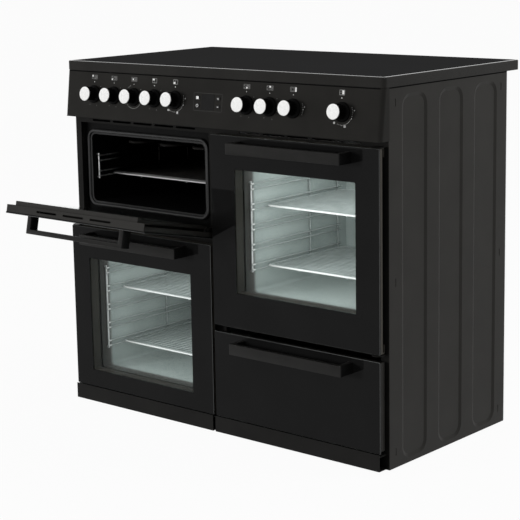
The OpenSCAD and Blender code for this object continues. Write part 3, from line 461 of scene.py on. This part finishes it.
def lathe(profile, segments, wave=None):
    """Points and faces of a turned form. profile is (radius, height) pairs that start and end on the axis.

    wave(radius, height, angle) may change the radius, for flutes.
    """
    loops = []
    for radius, height in profile[1:-1]:
        ring = []
        for i in range(segments):
            a = 2 * math.pi * i / segments
            at = wave(radius, height, a) if wave else radius
            ring.append((at * math.cos(a), at * math.sin(a), height))
        loops.append(ring)
    verts = [v for ring in loops for v in ring]
    faces = []
    for band in range(len(loops) - 1):
        for i in range(segments):
            j = (i + 1) % segments
            a, b = band * segments, (band + 1) * segments
            faces.append(((a + i, a + j, b + j, b + i), 0))
    for end, first in ((profile[0], 0), (profile[-1], (len(loops) - 1) * segments)):
        verts.append((0, 0, end[1]))
        for i in range(segments):
            faces.append(((first + i, first + (i + 1) % segments, len(verts) - 1), 0))
    return verts, faces


# ---------------------------------------------------------------- door glass

OPEN_GRILL = (Matrix.Translation(GRILL_PIVOT) @ Matrix.Rotation(GRILL_OPEN, 4, "X")
              @ Matrix.Translation(-GRILL_PIVOT))
DOORS = {
    # name and body: column, z range of the glass, window middle, z range of the window, placing
    "grill_door": (LEFT, (492, 744), MAIN_MID, (545, 685), OPEN_GRILL),
    "main_door": (LEFT, (52, 474), MAIN_MID, (96, 394), None),
    "tall_door": (RIGHT, (282, 744), TALL_MID, (367, 665), None),
}
for door, (across, height, mid, window, matrix) in DOORS.items():
    rect = (*across, height[0] * MM, height[1] * MM)
    hole = (mid - WINDOW_W / 2, mid + WINDOW_W / 2, window[0] * MM, window[1] * MM)
    black = pane(f"{door}_black_glass", rect, door, matrix, hole)
    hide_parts(f"{door}_glass")
    window_faces = (GLASS_Y + WINDOW_SINK, GLASS_Y + GLASS_T - WINDOW_SINK)
    loops = [at_y(rounded(*hole, PANE_R, WINDOW_GAP), y) for y in window_faces]
    verts, faces = join_loops(loops, [0, 0, 0], closed=False)
    make(f"{door}_window", verts, faces, ("window",), door, "door_glass", smooth=PANE_SMOOTH, matrix=matrix)

front = pane("drawer_black_glass", (*RIGHT, 52 * MM, 265 * MM), "drawer")
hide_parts("drawer_front")


# ---------------------------------------------------------------- handles

def handle_outline(mid, inset):
    """Plan of a handle: a bar with round front corners and a leg at each end, drawn in by inset."""
    y0, y1 = GLASS_Y - HANDLE_REACH, GLASS_Y
    x0, x1 = mid - HANDLE_LEN / 2, mid + HANDLE_LEN / 2
    r, inner = HANDLE_R, HANDLE_INNER_R
    points = []

    def corner(cx, cy, radius, start, turn):
        for i in range(7):
            a = math.radians(start + turn * i / 6)
            points.append((cx + radius * math.cos(a), cy + radius * math.sin(a)))

    corner(x0 + r, y0 + r, r - inset, 180, 90)
    corner(x1 - r, y0 + r, r - inset, 270, 90)
    points.append((x1 - inset, y1))
    points.append((x1 - HANDLE_POST + inset, y1))
    corner(x1 - HANDLE_POST - inner, y0 + HANDLE_BAR + inner, inner + inset, 0, -90)
    corner(x0 + HANDLE_POST + inner, y0 + HANDLE_BAR + inner, inner + inset, 270, -90)
    points.append((x0 + HANDLE_POST - inset, y1))
    points.append((x0 + inset, y1))
    return points


def handle(name, mid, z, body, matrix=None):
    """A handle with rounded long edges. The faces that look left and right are painted darker, a painted shade
    for their unlit sides.
    """
    c, h = HANDLE_EDGE, HANDLE_H / 2
    rows = [(c, -h), (c * 0.3, -h + c * 0.3), (0, -h + c), (0, h - c), (c * 0.3, h - c * 0.3), (c, h)]
    loops = [[(x, y, z + dz) for x, y in handle_outline(mid, inset)] for inset, dz in rows]
    verts, faces = join_loops(loops, [0] * len(loops), closed=False)
    piece = make(f"{name}_bar", verts, faces, ("handle", "handle_end_shade"), body, "handle_black", matrix=matrix)
    for face in piece.data.polygons:
        if abs(face.normal.x) > 0.9:
            face.material_index = 1
    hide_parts(name)


handle("grill_door_handle", MAIN_MID, 720 * MM, "grill_door", OPEN_GRILL)
handle("main_door_handle", MAIN_MID, 450 * MM, "main_door")
handle("tall_door_handle", TALL_MID, 720 * MM, "tall_door")
handle("drawer_handle", TALL_MID, 241 * MM, "drawer")


# ---------------------------------------------------------------- knobs

ON_FASCIA = Matrix.Translation(FASCIA_TOP) @ Matrix.Rotation(-FASCIA_TILT, 4, "X")


def flutes(radius, height, angle):
    """Shallow finger flutes on the middle of the grip, and the pointer ridge at the top."""
    if not 8 * MM < height < GRIP_TOP - 3 * MM:
        return radius
    radius -= FLUTE_DEPTH * (0.5 + 0.5 * math.cos(FLUTES * (angle - math.pi / 2) + math.pi))
    from_top = abs(angle - math.pi / 2)
    if from_top < POINTER_ANGLE:
        radius += POINTER_RISE * (1 - from_top / POINTER_ANGLE) ** 0.5
    return radius


# Profiles in mm: radius and height over the panel
BODY_PROFILE = [(0, 0.5), (21.5, 0.5), (22.3, 0.9), (22.5, 1.6), (22.5, 3.0), (22.1, 3.7), (21.5, 4.0),
                (18.1, 4.5), (16.8, 5.2), (16.1, 6.8), (16.0, 8.0), (16.0, 8.6), (16.0, 10.5), (15.9, 15),
                (15.9, 22), (16.0, 25.5), (16.0, 27.4), (16.0, 28.2), (16.1, 29.0), (16.6, 30.0),
                (17.1, 30.7), (17.3, 31.0), (0, 31.0)]
CAP_PROFILE = [(0, 31.05), (17.1, 31.05), (17.5, 31.3), (17.5, 33.4), (17.3, 34.0), (16.8, 34.5),
               (16.1, 34.85), (14.8, 35.1), (13.7, 35.3), (13.3, 35.05), (12.9, 35.0), (12.3, 35.25),
               (8.0, 35.6), (4.0, 35.76), (0, 35.8)]
knob_meshes = {}
for number, x in enumerate(KNOB_X, 1):
    spot = ON_FASCIA @ Matrix.Translation((x, 0, -KNOB_DROP)) @ Matrix.Rotation(math.pi / 2, 4, "X")
    for part, profile, segments, wave, mat in (("body", BODY_PROFILE, 112, flutes, "knob"),
                                               ("cap", CAP_PROFILE, 96, None, "knob_cap")):
        name, body = f"knob_{number}_{part}", f"knob_{number}"
        if part in knob_meshes:
            piece = place(name, knob_meshes[part], body, KNOB_SMOOTH, spot)
        else:
            turned = lathe([(r * MM, h * MM) for r, h in profile], segments, wave)
            piece = make(name, *turned, (mat,), body, "knob_black", KNOB_SMOOTH, spot)
            knob_meshes[part] = piece.data
        if part == "body":
            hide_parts(body)


# ---------------------------------------------------------------- printed marks

class Print:
    """Thin printed marks on the sloping panel: u across, v up the slope from the panel's top edge.

    All marks of one ink are one piece.
    """

    def __init__(self):
        self.verts, self.faces = [], []

    def plate(self, points):
        """A flat mark with this outline, closed all round."""
        first, n = len(self.verts), len(points)
        for out in (INK_LIFT, INK_LIFT + INK_T):
            self.verts += [ON_FASCIA @ Vector((u, -out, v)) for u, v in points]
        self.faces.append((tuple(range(first, first + n)), 0))
        self.faces.append((tuple(reversed(range(first + n, first + 2 * n))), 0))
        for i in range(n):
            j = (i + 1) % n
            self.faces.append(((first + i, first + j, first + n + j, first + n + i), 0))

    def bar(self, u0, v0, u1, v1, width):
        """A straight stroke between two points."""
        d = Vector((u1 - u0, v1 - v0)).normalized() * width / 2
        side = Vector((-d.y, d.x))
        start, end = Vector((u0, v0)), Vector((u1, v1))
        self.plate([tuple(p) for p in (start + side, start - side, end - side, end + side)])

    def disc(self, u, v, r, sides=14):
        self.plate([(u + r * math.cos(2 * math.pi * i / sides), v + r * math.sin(2 * math.pi * i / sides))
                    for i in range(sides)])

    def arc(self, u, v, r, start, end, width, steps=24):
        """A curved stroke round (u, v); angles in degrees, 90 is up."""
        for i in range(steps):
            a, b = (math.radians(start + (end - start) * k / steps) for k in (i, i + 1))
            near, far = r - width / 2, r + width / 2
            self.plate([(u + q * math.cos(t), v + q * math.sin(t))
                        for q, t in ((near, a), (far, a), (far, b), (near, b))])

    def outline(self, u0, u1, v0, v1, width):
        self.bar(u0, v0, u1, v0, width)
        self.bar(u0, v1, u1, v1, width)
        self.bar(u0, v0, u0, v1, width)
        self.bar(u1, v0, u1, v1, width)

    def digits(self, text, u, v, size):
        """Numbers in plain strokes, centred on (u, v)."""
        strokes = {"a": (0, 2, 1, 2), "b": (1, 1, 1, 2), "c": (1, 0, 1, 1), "d": (0, 0, 1, 0),
                   "e": (0, 0, 0, 1), "f": (0, 1, 0, 2), "g": (0, 1, 1, 1)}
        shapes = {"0": "abcdef", "1": "bc", "2": "abged"}
        w, h, step = size * 0.28, size * 0.5, size * 0.52
        left = u - step * (len(text) - 1) / 2 - w / 2
        for place_no, digit in enumerate(text):
            for s in shapes[digit]:
                a, b, c, d = strokes[s]
                ox, oy = left + place_no * step, v - h
                self.bar(ox + a * w, oy + b * h, ox + c * w, oy + d * h, size * 0.13)

    def make(self, name, ink):
        return make(name, self.verts, self.faces, (ink,), "cooker", "enamel")


def block(ink, x, v, *corners):
    """A filled rectangle: its corners are offsets in mm from the middle of a small picture."""
    u0, v0, u1, v1 = (c * MM for c in corners)
    ink.plate([(x + u0, v + v0), (x + u1, v + v0), (x + u1, v + v1), (x + u0, v + v1)])


def frame_lines(ink, x, v, *corners, width=0.9):
    u0, v0, u1, v1 = (c * MM for c in corners)
    ink.outline(x + u0, x + u1, v + v0, v + v1, width * MM)


def round_knob(number, angle, radius):
    a = math.radians(angle)
    return KNOB_X[number - 1] + radius * MM * math.cos(a), -KNOB_DROP + radius * MM * math.sin(a)


white, pale = Print(), Print()

# Over each knob a small picture of what it works, with that place filled in: hob zones or oven compartments
ICON_DROP = -KNOB_DROP + 43 * MM
DOT_DROP = -KNOB_DROP + 31 * MM
ZONES = {1: (-6.7, 2.7), 2: (-6.7, -2.7), 3: (-3.4, 0), 6: (0, -2.7), 7: (0, 2.7)}
COMPARTMENTS = {4: (-6.9, 0.6, -0.4, 5.0), 5: (-6.9, -5.0, -0.4, 0.4), 9: (0.2, -3.6, 5.6, 5.0)}
for number, x in enumerate(KNOB_X, 1):
    shift = (-3 if number == 9 else -0.8) * MM
    at = x + shift
    white.disc(at, DOT_DROP, (1.3 if number in (4, 5, 9) else 1.0) * MM)
    if number in ZONES:
        frame_lines(pale, at, ICON_DROP, -9.4, -5.0, 2.6, 5.0, width=0.7)
        for u, v in ZONES.values():
            ink, r = (white, 2.3) if ZONES[number] == (u, v) else (pale, 1.3)
            ink.disc(at + u * MM, ICON_DROP + v * MM, r * MM)
        frame_lines(pale, at, ICON_DROP, 4.2, -4.8, 9.4, 4.8)
        block(pale, at, ICON_DROP, 6.0, -3.0, 7.6, 3.0)
    elif number in COMPARTMENTS:
        frame_lines(pale, at, ICON_DROP, -7.2, -5.2, 7.0, 5.2, width=1.5)
        pale.bar(at, ICON_DROP - 5 * MM, at, ICON_DROP + 5 * MM, 1.2 * MM)
        pale.bar(at - 7 * MM, ICON_DROP + 0.4 * MM, at, ICON_DROP + 0.4 * MM, 1.2 * MM)
        block(white, at, ICON_DROP, *COMPARTMENTS[number])
    else:
        frame_lines(pale, at, ICON_DROP, -9.4, -5.0, 2.6, 5.0)
        frame_lines(pale, at, ICON_DROP, -6.6, -3.0, 0.4, 3.0, width=0.7)
        block(white, at, ICON_DROP, 4.4, -5.2, 8.4, 5.2)

# Marks round the knobs: ends of the range, the wide zone's arc, and dotted scales
for number in (1, 2, 4, 6, 7):
    for angle in (-118, -70, 42):
        pale.disc(*round_knob(number, angle, 29.5), 0.9 * MM, 10)
pale.arc(KNOB_X[2], -KNOB_DROP, 28.5 * MM, 218, 330, 1.0 * MM)
pale.arc(KNOB_X[2], -KNOB_DROP, 29.5 * MM, 118, 134, 0.8 * MM, 8)
for angle in (115, 40):
    pale.disc(*round_knob(3, angle, 30), 1.2 * MM)
for number, spots, numbers in ((5, (-122, -70, -21, 8), ("100", "200")), (8, (-2, 9), ()),
                               (9, (-26, 9), ("100", "200"))):
    for angle in spots:
        white.disc(*round_knob(number, angle, 34 if angle > 0 else 30), 1.1 * MM)
    for mark, angle in zip(numbers, (-130, -73)):
        white.digits(mark, *round_knob(number, angle, 32.5), 4.0 * MM)
    for angle in range(-112, 30, 8):
        if number != 8 or angle > -30:
            white.disc(*round_knob(number, angle, 29), 0.6 * MM, 8)
white.make("fascia_marks", "ink")
pale.make("fascia_fine_marks", "grey_ink")

outline = Print()
flat_w, flat_h = CLOCK_HALF_W - CLOCK_R, CLOCK_HALF_H - CLOCK_R
for start, cu, cv in ((0, 1, 1), (90, -1, 1), (180, -1, -1), (270, 1, -1)):
    outline.arc(CLOCK_X + cu * flat_w, -CLOCK_DROP + cv * flat_h, CLOCK_R, start, start + 90, CLOCK_LINE, 6)
for v in (-CLOCK_DROP + CLOCK_HALF_H, -CLOCK_DROP - CLOCK_HALF_H):
    outline.bar(CLOCK_X - flat_w, v, CLOCK_X + flat_w, v, CLOCK_LINE)
for u in (CLOCK_X - CLOCK_HALF_W, CLOCK_X + CLOCK_HALF_W):
    outline.bar(u, -CLOCK_DROP - flat_h, u, -CLOCK_DROP + flat_h, CLOCK_LINE)
outline.make("clock_outline", "faint_ink")

# One mark on each key: a square, a ring, a plus and a minus
outward = (ON_FASCIA.to_3x3() @ Vector((0, -1, 0))).normalized()
for number, (side, up) in enumerate(((-1, 1), (-1, -1), (1, 1), (1, -1)), 1):
    sign = Print()
    u, v = CLOCK_X + side * KEY_OUT, -CLOCK_DROP + up * KEY_UP
    if number == 1:
        block(sign, u, v, -3.6, -3.4, 4.6, 3.4)
    elif number == 2:
        sign.arc(u + 0.5 * MM, v, 3.2 * MM, 0, 360, 1.0 * MM)
    else:
        sign.bar(u - SIGN_REACH, v, u + SIGN_REACH, v, SIGN_W)
        if number == 3:
            sign.bar(u, v - SIGN_REACH, u, v + SIGN_REACH, SIGN_W)
    make(f"clock_key_{number}_mark", [p + outward * KEY_FACE for p in sign.verts], sign.faces, ("ink",),
         f"clock_key_{number}", "key_black")

# Painted shadow: dark strips for the shaded gap under the hob's edge trim, at the front and at both sides
trim_gap_shadow = Print()
trim_gap_shadow.bar(-JOINT_HALF_LEN, -JOINT_DROP, JOINT_HALF_LEN, -JOINT_DROP, JOINT_W)
trim_gap_shadow.make("hob_trim_gap_shadow_front", "shadow_gap")
(y0, y1), (z0, z1) = SIDE_JOINT_Y, SIDE_JOINT_Z
for side, name in ((-1, "left"), (1, "right")):
    rows = [[(side * x, y, z) for y, z in ((y0, z0), (y1, z0), (y1, z1), (y0, z1))] for x in SIDE_JOINT_X]
    make(f"hob_trim_gap_shadow_{name}", *join_loops(rows, [0, 0, 0], closed=False), ("shadow_gap",), "cooker", "enamel")

# Plugs a little way down the side panels' fixing slots, and the plinth's lip under the doors and the drawer
slots = [(side, y, z) for side in (-1, 1) for y in (-231, 196) for z in (48, 440, 842)]
blocks("slot_plugs", [(sorted((side * 495.7, side * 496.3)), (y - 1.9, y + 1.9), (z - 8.5, z + 8.5))
                      for side, y, z in slots], "enamel", "enamel")
blocks("plinth_lip", [(x, (-284.9, -283.6), (46.9, 51.3)) for x in ((-498, -14), (-6, 490))],
       "plinth", "frame_steel")


# ---------------------------------------------------------------- light, floor and camera

SKY_LIGHT = 0.40               # of the white surroundings' light, the part that falls on the object
FLOOR_GREY = 0.45
FLOOR_GLOW = 0.96              # how much of the floor's white is its own, without the shadow
FLOOR_HALF = 30
FLOOR_GAP = 0.6 * MM


def seen_directly(nodes, links, share):
    """share for camera, glossy and transmission rays, and 0 for the rest."""
    path = nodes.new("ShaderNodeLightPath")
    total = path.outputs["Is Camera Ray"]
    for ray in ("Is Glossy Ray", "Is Transmission Ray"):
        node = nodes.new("ShaderNodeMath")
        node.operation = "MAXIMUM"
        links.new(total, node.inputs[0])
        links.new(path.outputs[ray], node.inputs[1])
        total = node.outputs[0]
    scaled = nodes.new("ShaderNodeMath")
    scaled.operation = "MULTIPLY"
    scaled.inputs[1].default_value = share
    links.new(total, scaled.inputs[0])
    return scaled.outputs[0]


def background():
    """White for what the camera, gloss and glass see; softer for the light that falls on the object."""
    world = bpy.data.worlds.new("studio")
    bpy.context.scene.world = world
    world.use_nodes = True
    nodes, links = world.node_tree.nodes, world.node_tree.links
    nodes.clear()
    shades = []
    for strength in (SKY_LIGHT, 1.0):
        shade = nodes.new("ShaderNodeBackground")
        shade.inputs["Color"].default_value = (1, 1, 1, 1)
        shade.inputs["Strength"].default_value = strength
        shades.append(shade)
    links.new(seen_directly(nodes, links, 1.0), mix_to_output(nodes, links, *shades, "ShaderNodeOutputWorld"))


def floor():
    """A plain white floor that keeps the object's shadow."""
    mat, nodes, links = new_material("studio_floor")
    matt = nodes.new("ShaderNodeBsdfDiffuse")
    matt.inputs["Color"].default_value = (*grey(FLOOR_GREY), 1)
    glow = nodes.new("ShaderNodeEmission")
    glow.inputs["Strength"].default_value = 1.0
    links.new(seen_directly(nodes, links, FLOOR_GLOW), mix_to_output(nodes, links, matt, glow))
    mesh = bpy.data.meshes.new("floor")
    corners = ((-1, -1), (1, -1), (1, 1), (-1, 1))
    mesh.from_pydata([(FLOOR_HALF * x, FLOOR_HALF * y, -FLOOR_GAP) for x, y in corners], [], [(0, 1, 2, 3)])
    mesh.materials.append(mat)
    obj = bpy.data.objects.new("floor", mesh)
    bpy.context.scene.collection.objects.link(obj)


def area_light(name, spot, target, power, width, height=None):
    """A lamp that the reflections don't show. Without height it is square."""
    data = bpy.data.lights.new(name, "AREA")
    data.shape = "RECTANGLE"
    data.size, data.size_y = width, height or width
    data.energy = power
    lamp = bpy.data.objects.new(name, data)
    bpy.context.scene.collection.objects.link(lamp)
    lamp.location = spot
    lamp.rotation_mode = "QUATERNION"
    lamp.rotation_quaternion = (Vector(target) - Vector(spot)).to_track_quat("-Z", "Y")
    lamp.visible_glossy = False
    return lamp


background()
floor()
area_light("key_light", (-3.2, -5.8, 1.3), (0, 0, 0.6), 235, 1.3)
area_light("side_light", (2.1, 1.0, 2.3), (0.4, 0, 0.6), 34, 1.0)
area_light("top_light", (0.3, 0.6, 3.4), (0, 0, 0.6), 20, 2.4)

# Two lamps in each oven, one just inside its door and one under its ceiling
FILL_W, FILL_H = 300 * MM, 270 * MM
MOUTH_Y, CEILING_Y = -236 * MM, -50 * MM
MOUTH_SHARE = 1.15
for name, mid, z, top, power in (("main_oven", MAIN_MID, 250 * MM, 404 * MM, 0.40),
                                 ("tall_oven", TALL_MID, 520 * MM, 684 * MM, 0.62)):
    mouth = area_light(f"{name}_fill", (mid, MOUTH_Y, z), (mid, 0, z), MOUTH_SHARE * power, FILL_W, FILL_H)
    ceiling = area_light(f"{name}_top_fill", (mid, CEILING_Y, top), (mid, CEILING_Y, 0), power, FILL_W)
    mouth.visible_camera = ceiling.visible_camera = False

# Camera: fitted to the photograph's frame of 520 x 520 pixels
IMAGE = 520
FOCAL_PX = 1601.955
CENTRE_PX = (246.2, 226.4)
YAW, PITCH, ROLL = 0.719226989, 0.180540087, -0.0189670932
SENSOR = 36.0
EYE = (2.5417, -3.0664, 1.2090)
ahead = Vector((-math.sin(YAW) * math.cos(PITCH), math.cos(YAW) * math.cos(PITCH), -math.sin(PITCH)))
right = Vector((math.cos(YAW), math.sin(YAW), 0))
upward = right.cross(ahead)
cam_x = math.cos(ROLL) * right + math.sin(ROLL) * upward
cam_y = -math.sin(ROLL) * right + math.cos(ROLL) * upward
camera_data = bpy.data.cameras.new("camera")
camera_data.sensor_width = SENSOR
camera_data.lens = FOCAL_PX * SENSOR / IMAGE
camera_data.shift_x = (IMAGE / 2 - CENTRE_PX[0]) / IMAGE
camera_data.shift_y = (CENTRE_PX[1] - IMAGE / 2) / IMAGE
camera = bpy.data.objects.new("camera", camera_data)
bpy.context.scene.collection.objects.link(camera)
turn = Matrix((cam_x, cam_y, -ahead)).transposed().to_4x4()
camera.matrix_world = Matrix.Translation(EYE) @ turn
bpy.context.scene.camera = camera
bpy.context.scene.view_settings.view_transform = "Standard"

bpy.context.view_layer.update()
